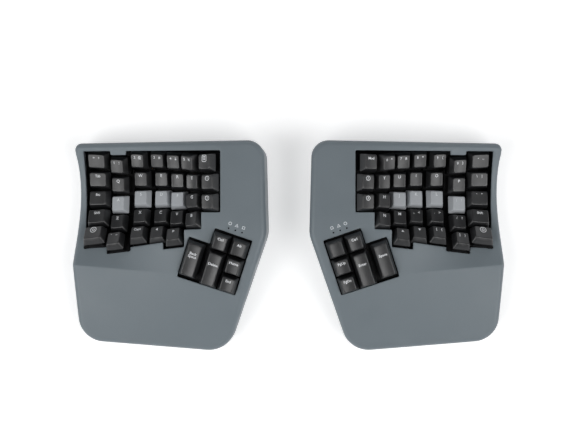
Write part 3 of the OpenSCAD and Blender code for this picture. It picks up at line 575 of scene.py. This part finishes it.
# Case shell: a rounded wall, a triangulated top with softened openings, and the same surfaces again inside
def case_mesh(side):
    verts, faces = [], []

    def ring(points):
        first = len(verts)
        verts.extend(points)
        return list(range(first, len(verts)))

    def strip(a, b):
        n = len(a)
        for i in range(n):
            j = (i + 1) % n
            faces.append((a[i], a[j], b[j], b[i]))

    lip_h = []
    for i in range(COUNT):
        p = inset(i, EDGE_R)
        lip_h.append(case_h(p.x, p.y))

    def at_lip(d, lift):
        return [(*inset(i, d), lip_h[i] - EDGE_R + lift) for i in range(COUNT)]

    def level(d, z):
        return [(*inset(i, d), z) for i in range(COUNT)]

    walls = [ring(level(CHAMFER, CASE_Z)),
             ring(level(CHAMFER * CHAMFER_MID[0], CASE_Z + CHAMFER * CHAMFER_MID[1])),
             ring(level(0, CASE_Z + CHAMFER))]
    for a in range(0, 90, 10):
        walls.append(ring(at_lip(EDGE_R * (1 - cos(a)), EDGE_R * sin(a))))

    holes = [(well_outline(), LIP_R), (thumb_outline(), LIP_R)]
    for k in range(LAMPS):
        place = lamp_place(k, LAMP_Y)
        holes.append((circle_outline(place.x, place.y, LAMP_HOLE_R), LAMP_LIP_R))
    border = [inset(i, EDGE_R) for i in range(COUNT)]
    flat = list(border)
    edges = [(i, (i + 1) % COUNT) for i in range(COUNT)]
    rims = []
    for points, r in holes:
        first = len(flat)
        rim = outward(points, r)
        flat += rim
        edges += [(first + i, first + (i + 1) % len(rim)) for i in range(len(rim))]
        rims.append(rim)

    edge_points = list(flat)

    def clear(p, room):
        if not inside(p, border) or any(inside(p, rim) for rim in rims):
            return False
        return all((p - q).length > room for q in edge_points)

    # A line of points along the ridge, one on each side of it, and a net over the rest
    crease_x = [SCOOP_START + 2 + k * CREASE_STEP for k in range(CREASE_COUNT)]
    crease = [p for p in (Vector((x, ridge_at(x))) for x in crease_x) if clear(p, CREASE_ROOM)]
    chain = len(flat)
    flat += crease
    edges += [(chain + i, chain + i + 1) for i in range(len(crease) - 1)
              if (crease[i + 1] - crease[i]).length < CREASE_LINK]
    for off in (-CREASE_SIDE, CREASE_SIDE):
        flat += [p for p in (q + Vector((0, off)) for q in crease) if clear(p, CREASE_SIDE_ROOM)]
    for j in range(int(CASE_D / (TOP_GRID * GRID_ROW)) + 1):
        y = FRONT_Y + j * TOP_GRID * GRID_ROW
        for k in range(int(CASE_W / TOP_GRID) + 1):
            p = Vector((k * TOP_GRID + (j % 2) * TOP_GRID / 2, y))
            off_crease = p.x <= SCOOP_START or abs(p.y - ridge_at(p.x)) > CREASE_CLEAR
            if off_crease and clear(p, GRID_ROOM):
                flat.append(p)
    out, _, tris, origin, _, _ = delaunay_2d_cdt(flat, edges, [], 0, 1e-5)

    def kept(t):
        a, b, c = (out[k] for k in t)
        m = (a + b + c) / 3
        thin = abs((b - a).cross(c - a)) < SLIVER
        return not thin and inside(m, border) and not any(inside(m, rim) for rim in rims)

    tris = [t for t in tris if kept(t)]
    index_of = {}
    for j, sources in enumerate(origin):
        for s in sources:
            index_of[s] = j
    top = ring([(p.x, p.y, case_h(p.x, p.y)) for p in out])
    under = ring([(p.x, p.y, case_h(p.x, p.y) - CASE_WALL) for p in out])
    for a, b, c in tris:
        faces.append((top[a], top[b], top[c]))
        faces.append((under[c], under[b], under[a]))
    walls.append([top[index_of[i]] for i in range(COUNT)])
    for a, b in zip(walls, walls[1:]):
        strip(a, b)
    inner = [[under[index_of[i]] for i in range(COUNT)], ring(at_lip(CASE_WALL, 0)),
             ring(level(CASE_WALL, CASE_Z)), walls[0]]
    for a, b in zip(inner, inner[1:]):
        strip(a, b)
    first = COUNT
    for (points, r), rim in zip(holes, rims):
        n = len(rim)
        loops = [[top[index_of[first + i]] for i in range(n)]]
        for a in (60, 30, 0):
            near = outward(points, r * (1 - cos(a)))
            loops.append(ring([(p.x, p.y, case_h(p.x, p.y) - r * (1 - sin(a))) for p in near]))
        loops.append(ring([(p.x, p.y, case_h(p.x, p.y) - CASE_WALL) for p in points]))
        loops.append([under[index_of[first + i]] for i in range(n)])
        for a, b in zip(loops, loops[1:]):
            strip(a, b)
        first += n
    used = sorted({v for f in faces for v in f})
    remap = {v: k for k, v in enumerate(used)}
    points = [placed(side, verts[v]) for v in used]
    faces = [tuple(remap[v] for v in (f if side == "right" else f[::-1])) for f in faces]
    mesh = bpy.data.meshes.new(f"{side}_case_shell")
    mesh.from_pydata(points, [], faces)
    mesh.update()
    return mesh


def stadium_prism(side, x, z, w, h, y0, y1):
    bm = bmesh.new()
    loop = []
    for s in (1, -1):
        for k in range(13):
            a = 15 * k - 90 * s
            loop.append((x + s * (w - h) / 2 + h / 2 * cos(a), z + h / 2 * sin(a)))
    near = [bm.verts.new(placed(side, (px, y0, pz))) for px, pz in loop]
    far = [bm.verts.new(placed(side, (px, y1, pz))) for px, pz in loop]
    bm.faces.new(near)
    bm.faces.new(far[::-1])
    for i in range(len(loop)):
        j = (i + 1) % len(loop)
        bm.faces.new((near[i], far[i], far[j], near[j]))
    bmesh.ops.recalc_face_normals(bm, faces=bm.faces)
    mesh = bpy.data.meshes.new("socket_cutter")
    bm.to_mesh(mesh)
    bm.free()
    return mesh


def cut(mesh, cutter_mesh):
    body = bpy.data.objects.new("cut_body", mesh)
    cutter = bpy.data.objects.new("cut_tool", cutter_mesh)
    for o in (body, cutter):
        bpy.context.scene.collection.objects.link(o)
    modifier = body.modifiers.new("cut", "BOOLEAN")
    modifier.object = cutter
    modifier.solver = "EXACT"
    bpy.context.view_layer.update()
    result = bpy.data.meshes.new_from_object(body.evaluated_get(bpy.context.evaluated_depsgraph_get()))
    for o in (body, cutter):
        bpy.data.objects.remove(o)
    return result


for side in SIDES:
    shell = cut(case_mesh(side), stadium_prism(side, *SOCKET, BACK_Y - SOCKET_REACH, BACK_Y + SOCKET_REACH))
    soften(shell, CASE_SHARP)
    piece = new_object(f"{side}_case_shell", shell, CASE_MAT, ROOT)
    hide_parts(f"{side}_top_case")


# Key caps
CORNER_STEPS = 4
LONG_STEPS, SHORT_STEPS = 8, 5
CAP_EDGE = 0.9
CAP_SHARP = 40
SIDE_SWELL = 0.12
SLIDER = (7.0, 5.8, 0.6)
SLIDER_LOW, SLIDER_TOP = 1.0, 6.6
POST_R = 2.75
POST_POINTS = 24


def cap_ring(w, d, r, dy):
    """Points of a rounded rectangle, with extra points along its front and back for the dish."""
    out = []
    for q in range(4):
        sx, sy = 1 if q in (0, 3) else -1, 1 if q < 2 else -1
        ox, oy = sx * (w / 2 - r), dy + sy * (d / 2 - r)
        for k in range(CORNER_STEPS + 1):
            a = 90 * q + 90 * k / CORNER_STEPS
            out.append((ox + r * cos(a), oy + r * sin(a)))
        nx, ny = [(-1, 1), (-1, -1), (1, -1), (1, 1)][q]
        ex, ey = nx * (w / 2 - r), dy + ny * (d / 2 - r)
        last = out[-1]
        turn = 90 * (q + 1)
        goal = (ex + r * cos(turn), ey + r * sin(turn))
        steps = LONG_STEPS if q in (0, 2) else SHORT_STEPS
        for k in range(1, steps):
            out.append(tuple(u + (v - u) * k / steps for u, v in zip(last, goal)))
    return out


def dish_z(x, top_w):
    r = top_w * top_w / (8 * DISH) + DISH / 2
    x = min(abs(x), top_w / 2)
    return CAP_TOP_H - DISH + r - math.sqrt(r * r - x * x)


def add_cap(bm, w, d, m):
    top_w, top_d = w - 2 * SIDE_TAPER, d - 2 * END_TAPER
    height = CAP_TOP_H - SKIRT_H
    rings = []

    def ring(share, corner, z_of, shrink=0.0):
        pts = cap_ring(w - 2 * SIDE_TAPER * share - 2 * shrink, d - 2 * END_TAPER * share - 2 * shrink,
                       corner, CAP_LEAN * share)
        rings.append([bm.verts.new(m @ Vector((x, y, z_of(x)))) for x, y in pts])

    def plain(z):
        return lambda x: z

    # Hollow underneath, rim of the skirt, slightly swollen sides, rounded top edge and dished top
    ring((CEILING - SKIRT_H) / height, 1.0, plain(CEILING), CAP_WALL)
    ring(0.0, 0.8, plain(SKIRT_H + 0.1), CAP_WALL)
    ring(0.0, 0.8, plain(SKIRT_H), CAP_WALL - 0.12)
    ring(0.0, 1.0, plain(SKIRT_H), 0.25)
    ring(0.0, 1.1, plain(SKIRT_H + 0.25), 0.04)
    for share in (0.2, 0.45, 0.7):
        swell = SIDE_SWELL * math.sin(math.pi * share)
        ring(share, 1.1 + 0.5 * share, plain(SKIRT_H + height * share), -swell)
    for a in (0, 22, 45, 67, 90):
        drop = CAP_EDGE * (1 - sin(a))
        ring(1 - CAP_EDGE * 0.8 / height * (1 - sin(a)), 1.7, lambda x, drop=drop: dish_z(x, top_w) - drop,
             CAP_EDGE * 0.75 * (1 - cos(a)))
    for share in (0.84, 0.66, 0.46, 0.24):
        pts = cap_ring((top_w - 1.5 * CAP_EDGE) * share, (top_d - 1.5 * CAP_EDGE) * share, 1.2 * share,
                       CAP_LEAN)
        rings.append([bm.verts.new(m @ Vector((x, y, dish_z(x, top_w)))) for x, y in pts])
    for a, b in zip(rings, rings[1:]):
        n = len(a)
        for i in range(n):
            j = (i + 1) % n
            bm.faces.new((a[i], a[j], b[j], b[i]))
    bm.faces.new(rings[0][::-1])
    middle = bm.verts.new(m @ Vector((0, CAP_LEAN, dish_z(0, top_w))))
    last = rings[-1]
    for i in range(len(last)):
        bm.faces.new((last[i], last[(i + 1) % len(last)], middle))


def add_prism(bm, loop, z0, z1, m):
    low = [bm.verts.new(m @ Vector((x, y, z0))) for x, y in loop]
    high = [bm.verts.new(m @ Vector((x, y, z1))) for x, y in loop]
    bm.faces.new(low[::-1])
    bm.faces.new(high)
    for i in range(len(loop)):
        j = (i + 1) % len(loop)
        bm.faces.new((low[i], low[j], high[j], high[i]))


def add_stem(bm, m):
    """Slider of the switch, with the round post of the cap on it."""
    add_prism(bm, cap_ring(*SLIDER, 0), SLIDER_LOW, SLIDER_TOP, m)
    add_prism(bm, round_loop(POST_R, POST_POINTS), SLIDER_TOP, CEILING, m)


# Legends, by column and row from the back; those with an at sign are drawn shapes
LEGENDS = {
    "left": [
        ["= +", "Tab", "Esc", "Shift", "@ring"],
        ["1 !", "Q", "A", "Z", "` ~"],
        ["2 @", "W", "S", "X", "Caps"],
        ["3 #", "E", "D", "C", "@left"],
        ["4 $", "R", "F", "V", "@right"],
        ["5 %", "T", "G", "B"],
        ["@page", "@1", "@2"],
        ["Back\nSpace", "Ctrl", "Delete", "Alt", "Home", "End"],
    ],
    "right": [
        ["- _", "\\ |", "' \"", "Shift", "@ring"],
        ["0 )", "P", "; :", "/ ?", "] }"],
        ["9 (", "O", "L", ". >", "[ {"],
        ["8 *", "I", "K", ", <", "@down"],
        ["7 &", "U", "J", "M", "@up"],
        ["6 ^", "Y", "H", "N"],
        ["Mod", "@3", "@4"],
        ["Space", "Ctrl", "Enter", "", "PgUp", "PgDn"],
    ],
}
LETTER = 4.3
WORD = 3.7
PAIR_SIZE = LETTER * 0.86
PAIR_X = 2.7
NUMBER = 3.2
SMALL_TYPE = 3.5
STROKE, SMALL_STROKE = 0.07, 0.045
LINE_SPACE = 0.85
ARROW = [(0, 1.5), (-1.45, -0.9), (1.45, -0.9)]
ARROW_TURN = {"@up": 0, "@left": 90, "@down": 180, "@right": -90}
LEGEND_Y, LONG_LEGEND_Y = 3.5, 5.4
LONG_CAP = 30
LEGEND_RISE, LEGEND_SINK = 0.035, 0.12
SAME_POINT = 0.002
LONGEST = 1.0
LIGHT_KEYS = ("home_key_2", "home_key_3", "home_key_4", "home_key_5")


def glyph_mesh(words, size):
    curve = bpy.data.curves.new("glyph", "FONT")
    curve.body = words
    curve.size = size
    curve.align_x = "CENTER"
    curve.align_y = "CENTER"
    curve.space_line = LINE_SPACE
    curve.resolution_u = 4
    curve.offset = SMALL_STROKE if size < SMALL_TYPE else STROKE
    obj = bpy.data.objects.new("glyph", curve)
    bpy.context.scene.collection.objects.link(obj)
    bpy.context.view_layer.update()
    mesh = bpy.data.meshes.new_from_object(obj.evaluated_get(bpy.context.evaluated_depsgraph_get()))
    bpy.data.objects.remove(obj)
    bpy.data.curves.remove(curve)
    shape = [(v.co.x, v.co.y) for v in mesh.vertices], [tuple(p.vertices) for p in mesh.polygons]
    bpy.data.meshes.remove(mesh)
    return shape


def loop_shape(outer, inner=None):
    """A flat shape: a plain loop, or a band between two loops of the same count."""
    if inner is None:
        return list(outer), [tuple(range(len(outer)))]
    n = len(outer)
    return list(outer) + list(inner), [(i, (i + 1) % n, n + (i + 1) % n, n + i) for i in range(n)]


def moved(shape, dx, dy):
    return [(x + dx, y + dy) for x, y in shape[0]], shape[1]


def arrow_shape(turn):
    return loop_shape([(x * cos(turn) - y * sin(turn), x * sin(turn) + y * cos(turn)) for x, y in ARROW])


def legend_shapes(words):
    """Flat shapes for one legend, centred on its own place."""
    if words == "":
        return []
    if words in ARROW_TURN:
        return [arrow_shape(ARROW_TURN[words])]
    if words == "@ring":
        return [loop_shape(round_loop(3.4), round_loop(2.7)),
                loop_shape(round_loop(1.5, 20), round_loop(0.9, 20))]
    if words == "@page":
        page = loop_shape(cap_ring(5.2, 7.0, 1.4, 0), cap_ring(4.0, 5.8, 0.9, 0))
        lines = [moved(loop_shape(cap_ring(2.6, 0.7, 0.3, 0)), 0, dy) for dy in (-1.2, 0.2, 1.6)]
        return [page] + lines
    if words.startswith("@"):
        return [loop_shape(round_loop(2.4), round_loop(1.8)), glyph_mesh(words[1], NUMBER)]
    if len(words) == 1:
        return [glyph_mesh(words, LETTER)]
    if len(words) == 3 and words[1] == " ":
        return [moved(glyph_mesh(words[0], PAIR_SIZE), -PAIR_X, 0),
                moved(glyph_mesh(words[2], PAIR_SIZE), PAIR_X, 0)]
    return [glyph_mesh(words, WORD)]


def extruded(flat):
    """Thickens a flat shape and gives the points of its raised side."""
    grown = bmesh.ops.extrude_face_region(flat, geom=flat.faces[:])
    return {v for v in grown["geom"] if isinstance(v, bmesh.types.BMVert)}


def pour(flat, bm, place):
    """Moves a shape into a larger mesh, each point to its place."""
    table = {v: bm.verts.new(place(v.co)) for v in flat.verts}
    for f in flat.faces:
        bm.faces.new([table[v] for v in f.verts])
    flat.free()


def add_legend(bm, words, c, r, m):
    """Lays the shapes of one legend on the dished top of its cap."""
    w, d = cap_size(c, r)
    top_w = w - 2 * SIDE_TAPER
    y0 = CAP_LEAN + (LONG_LEGEND_Y if d > LONG_CAP else LEGEND_Y)
    for points, polygons in legend_shapes(words):
        flat = bmesh.new()
        vs = [flat.verts.new((x, y + y0, 0)) for x, y in points]
        for p in polygons:
            corners = [vs[i] for i in p]
            if len(set(p)) == len(p) and flat.faces.get(corners) is None:
                flat.faces.new(corners)
        bmesh.ops.remove_doubles(flat, verts=flat.verts, dist=SAME_POINT)
        long_edges = [e for e in flat.edges if e.calc_length() > LONGEST]
        bmesh.ops.subdivide_edges(flat, edges=long_edges, cuts=2)
        bmesh.ops.triangulate(flat, faces=flat.faces)
        bmesh.ops.recalc_face_normals(flat, faces=flat.faces)
        if flat.faces and flat.faces[:][0].normal.z < 0:
            bmesh.ops.reverse_faces(flat, faces=flat.faces)
        raised = extruded(flat)
        for v in flat.verts:
            z = dish_z(v.co.x, top_w)
            v.co.z = z + LEGEND_RISE if v in raised else z - LEGEND_SINK
        pour(flat, bm, lambda p: m @ p)


GROUPS = (
    [(name, [(c, r) for c in range(MAIN_COLS)]) for name, r in
     (("number_row_keys", 0), ("upper_row_keys", 1), ("lower_row_keys", 3), ("bottom_row_keys", 4))]
    + [(f"home_key_{c + 1}", [(c, HOME_ROW)]) for c in range(MAIN_COLS)]
    + [(f"inner_key_{r + 1}", [(INNER_COL, r)]) for r in range(COL_KEYS[INNER_COL])]
    + [("centre_column_keys", [(FLAT_COL, r) for r in range(COL_KEYS[FLAT_COL])])]
    + [(f"thumb_key_{k + 1}", [(THUMB_COL, k)]) for k in range(len(THUMB_KEYS))]
)


def finished(bm, name):
    bmesh.ops.recalc_face_normals(bm, faces=bm.faces)
    mesh = bpy.data.meshes.new(name)
    bm.to_mesh(mesh)
    bm.free()
    return mesh


for side in SIDES:
    for group, members in GROUPS:
        node = f"{side}_{group}"
        light = group in LIGHT_KEYS
        caps, words = bmesh.new(), bmesh.new()
        for c, r in members:
            m = key_matrix(side, c, r)
            w, d = cap_size(c, r)
            add_cap(caps, w, d, m)
            add_stem(caps, m)
            add_legend(words, LEGENDS[side][c][r], c, r, m)
        mesh = finished(caps, node + "_caps")
        soften(mesh, CAP_SHARP)
        piece = new_object(node + "_caps", mesh, LIGHT_CAP if light else DARK_CAP, node)
        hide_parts(node)
        if words.faces:
            mesh = finished(words, node + "_legends")
            new_object(node + "_legends", mesh, LIGHT_WORD if light else WORD_MAT, node)
        else:
            words.free()


# Printed marks behind the lamps
def mark_shapes():
    frame_box = cap_ring(3.0, 3.0, 0.6, 0), cap_ring(1.8, 1.8, 0.3, 0)
    triangle = [(0, 1.9), (-1.9, -1.4), (1.9, -1.4)], [(0, 0.8), (-0.95, -0.85), (0.95, -0.85)]
    return [loop_shape(*frame_box), loop_shape(*triangle), loop_shape(round_loop(1.75), round_loop(1.1))]


for side in SIDES:
    bm = bmesh.new()
    for k, (points, polygons) in enumerate(mark_shapes()):
        base = lamp_place(k, MARK_Y)
        flat = bmesh.new()
        vs = [flat.verts.new((x, y, 0)) for x, y in points]
        for p in polygons:
            flat.faces.new([vs[i] for i in p])
        bmesh.ops.triangulate(flat, faces=flat.faces)
        raised = extruded(flat)
        for v in flat.verts:
            x = base.x + v.co.x * cos(THUMB_TURN) - v.co.y * sin(THUMB_TURN)
            y = base.y + v.co.x * sin(THUMB_TURN) + v.co.y * cos(THUMB_TURN)
            v.co = (x, y, case_h(x, y) + (MARK_RISE if v in raised else -MARK_SINK))
        pour(flat, bm, lambda p: placed(side, p))
    new_object(f"{side}_lamp_marks", finished(bm, f"{side}_lamp_marks"), MARK_MAT, ROOT)


# Finishes of the solids that stay as they are
FINISH = {"switch_housings": SWITCH_MAT, "flex_circuits": FLEX_MAT, "thumb_boards": BOARD_MAT,
          "controller_boards": BOARD_MAT, "batteries": FOIL_MAT, "usb_sockets": STEEL_MAT,
          "indicator_lenses": LENS_MAT, "case_screws": STEEL_MAT, "rubber_feet": RUBBER_MAT,
          "leg_pins": STEEL_MAT}
for side in SIDES:
    FINISH[f"{side}_base_plate"] = BASE_MAT
    FINISH[f"{side}_key_well"] = WELL_MAT
    FINISH[f"{side}_thumb_plate"] = WELL_MAT
    FINISH[f"{side}_tent_leg"] = LEG_MAT
for node, mat in FINISH.items():
    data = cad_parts[node].data
    data.materials.clear()
    data.materials.append(mat)


# Floor, light and camera, in metres
FLOOR_SIZE = 5.0
FLOOR_COLOUR = (0.92, 0.92, 0.92, 1)
FLOOR_GLOW = 0.5
AIM = (0, 0, 0.03)
SOFTBOX_AT, SOFTBOX_SIZE, SOFTBOX_POWER = (1.45, -0.7, 1.75), (1.6, 1.5), 24
FILL_AT, FILL_SIZE, FILL_POWER = (0.0, 2.2, 0.9), (2.4, 0.8), 3
SKY_COLOUR = (0.95, 0.97, 1.0, 1)
# The sky is bright near the horizon and dim overhead
SKY_LOW, SKY_HIGH = 0.08, 0.42
SKY_BRIGHT, SKY_DIM = 0.85, 0.1


def floor():
    bm = bmesh.new()
    bmesh.ops.create_grid(bm, x_segments=4, y_segments=4, size=FLOOR_SIZE)
    mesh = bpy.data.meshes.new("floor")
    bm.to_mesh(mesh)
    bm.free()
    mat = bpy.data.materials.new("floor_white")
    mat.use_nodes = True
    nodes, links = mat.node_tree.nodes, mat.node_tree.links
    shader = nodes["Principled BSDF"]
    shader.inputs["Base Color"].default_value = FLOOR_COLOUR
    shader.inputs["Roughness"].default_value = 0.9
    shader.inputs["Specular IOR Level"].default_value = 0.1
    path = nodes.new("ShaderNodeLightPath")
    seen = path.outputs["Is Camera Ray"]
    for kind in ("Is Glossy Ray", "Is Transmission Ray"):
        either = nodes.new("ShaderNodeMath")
        either.operation = "MAXIMUM"
        links.new(seen, either.inputs[0])
        links.new(path.outputs[kind], either.inputs[1])
        seen = either.outputs["Value"]
    share = nodes.new("ShaderNodeMath")
    share.operation = "MULTIPLY"
    share.inputs[1].default_value = FLOOR_GLOW
    links.new(seen, share.inputs[0])
    glow = nodes.new("ShaderNodeEmission")
    glow.inputs["Color"].default_value = (1, 1, 1, 1)
    links.new(share.outputs["Value"], glow.inputs["Strength"])
    both = nodes.new("ShaderNodeAddShader")
    links.new(shader.outputs["BSDF"], both.inputs[0])
    links.new(glow.outputs["Emission"], both.inputs[1])
    links.new(both.outputs["Shader"], nodes["Material Output"].inputs["Surface"])
    mesh.materials.append(mat)
    obj = bpy.data.objects.new("floor", mesh)
    bpy.context.scene.collection.objects.link(obj)


def lamp(name, place, size, power):
    data = bpy.data.lights.new(name, "AREA")
    data.shape = "RECTANGLE"
    data.size, data.size_y = size
    data.energy = power
    obj = bpy.data.objects.new(name, data)
    obj.location = place
    obj.rotation_euler = (Vector(AIM) - Vector(place)).to_track_quat("-Z", "Y").to_euler()
    bpy.context.scene.collection.objects.link(obj)


floor()
for side, end in zip(SIDES, (-1, 1)):
    place = (SOFTBOX_AT[0] * end, *SOFTBOX_AT[1:])
    lamp(f"softbox_{side}", place, SOFTBOX_SIZE, SOFTBOX_POWER)
lamp("back_fill", FILL_AT, FILL_SIZE, FILL_POWER)
world = bpy.data.worlds.new("studio")
bpy.context.scene.world = world
world.use_nodes = True
nodes, links = world.node_tree.nodes, world.node_tree.links
nodes["Background"].inputs["Color"].default_value = SKY_COLOUR
way = nodes.new("ShaderNodeTexCoord")
part = nodes.new("ShaderNodeSeparateXYZ")
pale = nodes.new("ShaderNodeMapRange")
pale.interpolation_type = "SMOOTHSTEP"
pale.inputs["From Min"].default_value = SKY_LOW
pale.inputs["From Max"].default_value = SKY_HIGH
pale.inputs["To Min"].default_value = SKY_BRIGHT
pale.inputs["To Max"].default_value = SKY_DIM
links.new(way.outputs["Generated"], part.inputs["Vector"])
links.new(part.outputs["Z"], pale.inputs["Value"])
links.new(pale.outputs["Result"], nodes["Background"].inputs["Strength"])

# Camera straight above: width of the picture and focal length in pixels, places in millimetres
WIDTH = 580
FOCAL = 858.5
HALF_PIXEL = 0.5
SENSOR = 36.0
HEIGHT = 900.0
ASIDE = 30.0
CAMERA_Y = 30.45
view = bpy.data.cameras.new("camera")
view.sensor_width = SENSOR
view.lens = SENSOR * FOCAL / WIDTH
view.shift_x = (HALF_PIXEL - ASIDE * FOCAL / HEIGHT) / WIDTH
view.clip_start = 0.01
camera = bpy.data.objects.new("camera", view)
camera.location = (ASIDE * MM, (CAMERA_Y - CENTRE_Y) * MM, HEIGHT * MM)
bpy.context.scene.collection.objects.link(camera)
bpy.context.scene.camera = camera
bpy.context.scene.view_settings.view_transform = "Standard"
